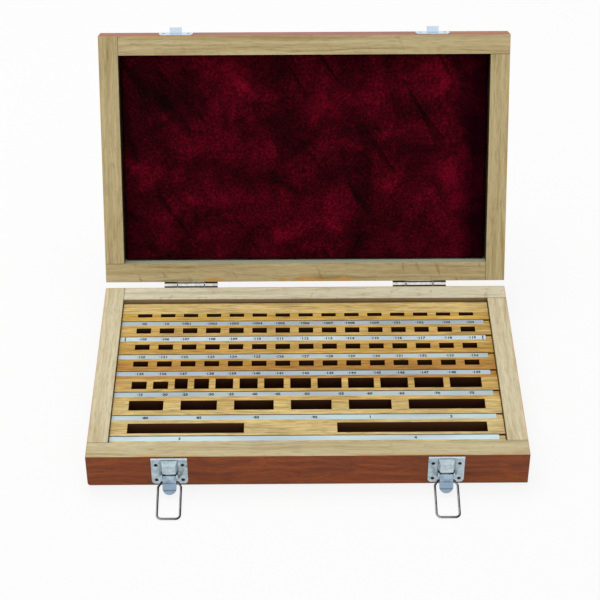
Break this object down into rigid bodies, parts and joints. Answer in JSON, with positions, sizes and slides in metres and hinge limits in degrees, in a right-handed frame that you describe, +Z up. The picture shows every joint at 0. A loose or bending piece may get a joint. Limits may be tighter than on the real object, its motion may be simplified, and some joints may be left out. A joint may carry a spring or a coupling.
{
  "type": "gauge block case",
  "caption": "Hinged wooden case, open: slotted block tray with size strips in the base, padded velvet lining in the lid and toggle latches in front.",
  "frame": {"origin": "middle of the base's flat underside, between its four sides", "axes": "+X to the right as one faces the latches, +Y to the back where the hinges are, +Z up"},
  "size_m": [0.3, 0.3116, 0.2035],
  "materials": {
    "frame_wood": "reddish brown stain and varnish outside, bare pale wood on the rims and inside",
    "panel_board": "stained and varnished board, bare inside",
    "tray_batten_wood": "sanded, pale golden, unvarnished",
    "tray_spacer_wood": "sanded, pale golden, slot sides darkened",
    "tray_board": "thin dark brown hardboard",
    "strip_metal": "satin, thin flat strip",
    "hinge_metal": "plated, satin",
    "latch_metal": "plated pressed sheet, satin",
    "wire_steel": "plated round wire",
    "lining_board": "thin backing board",
    "velvet": "deep wine red velvet over padding"
  },
  "bodies": {
    "base": {"base_front_rail": "frame_wood", "base_back_rail": "frame_wood", "base_left_stile": "frame_wood", "base_right_stile": "frame_wood", "base_bottom_panel": "panel_board", "tray_floor": "tray_board", "tray_batten_1": "tray_batten_wood", "tray_batten_2": "tray_batten_wood", "tray_batten_3": "tray_batten_wood", "tray_batten_4": "tray_batten_wood", "tray_batten_5": "tray_batten_wood", "tray_batten_6": "tray_batten_wood", "tray_batten_7": "tray_batten_wood", "tray_batten_8": "tray_batten_wood", "row_1_spacers": "tray_spacer_wood", "row_2_spacers": "tray_spacer_wood", "row_3_spacers": "tray_spacer_wood", "row_4_spacers": "tray_spacer_wood", "row_5_spacers": "tray_spacer_wood", "row_6_spacers": "tray_spacer_wood", "row_7_spacers": "tray_spacer_wood", "size_strip_1": "strip_metal", "size_strip_2": "strip_metal", "size_strip_3": "strip_metal", "size_strip_4": "strip_metal", "size_strip_5": "strip_metal", "size_strip_6": "strip_metal", "size_strip_7": "strip_metal", "hinge_left_base_leaf": "hinge_metal", "hinge_right_base_leaf": "hinge_metal", "hinge_left_pin": "hinge_metal", "hinge_right_pin": "hinge_metal", "latch_left_plate": "latch_metal", "latch_right_plate": "latch_metal", "latch_left_pivot_pin": "latch_metal", "latch_right_pivot_pin": "latch_metal"},
    "lid": {"lid_front_rail": "frame_wood", "lid_back_rail": "frame_wood", "lid_left_stile": "frame_wood", "lid_right_stile": "frame_wood", "lid_top_panel": "panel_board", "lid_lining_board": "lining_board", "lid_velvet_lining": "velvet", "hinge_left_lid_leaf": "hinge_metal", "hinge_right_lid_leaf": "hinge_metal", "catch_left": "latch_metal", "catch_right": "latch_metal"},
    "latch_left_lever": {"latch_left_lever": "latch_metal"},
    "latch_left_bail": {"latch_left_bail": "wire_steel"},
    "latch_right_lever": {"latch_right_lever": "latch_metal"},
    "latch_right_bail": {"latch_right_bail": "wire_steel"}
  },
  "joints": [
    {"name": "lid_hinge", "type": "hinge", "parent": "base", "child": "lid", "pos_m": [0, 0.0951, 0.02815], "axis": [1, 0, 0], "range_deg": [0, 112.6]},
    {"name": "latch_left_lever_pivot", "type": "hinge", "parent": "base", "child": "latch_left_lever", "pos_m": [-0.0937, -0.0967, 0.0135], "axis": [-1, 0, 0], "range_deg": [0, 115]},
    {"name": "latch_left_bail_pivot", "type": "hinge", "parent": "latch_left_lever", "child": "latch_left_bail", "pos_m": [-0.0937, -0.0959, 0.00755], "axis": [1, 0, 0], "range_deg": [-103.36, 76.64]},
    {"name": "latch_right_lever_pivot", "type": "hinge", "parent": "base", "child": "latch_right_lever", "pos_m": [0.0937, -0.0967, 0.0135], "axis": [-1, 0, 0], "range_deg": [0, 115]},
    {"name": "latch_right_bail_pivot", "type": "hinge", "parent": "latch_right_lever", "child": "latch_right_bail", "pos_m": [0.0937, -0.0959, 0.00755], "axis": [1, 0, 0], "range_deg": [-103.36, 76.64]}
  ]
}
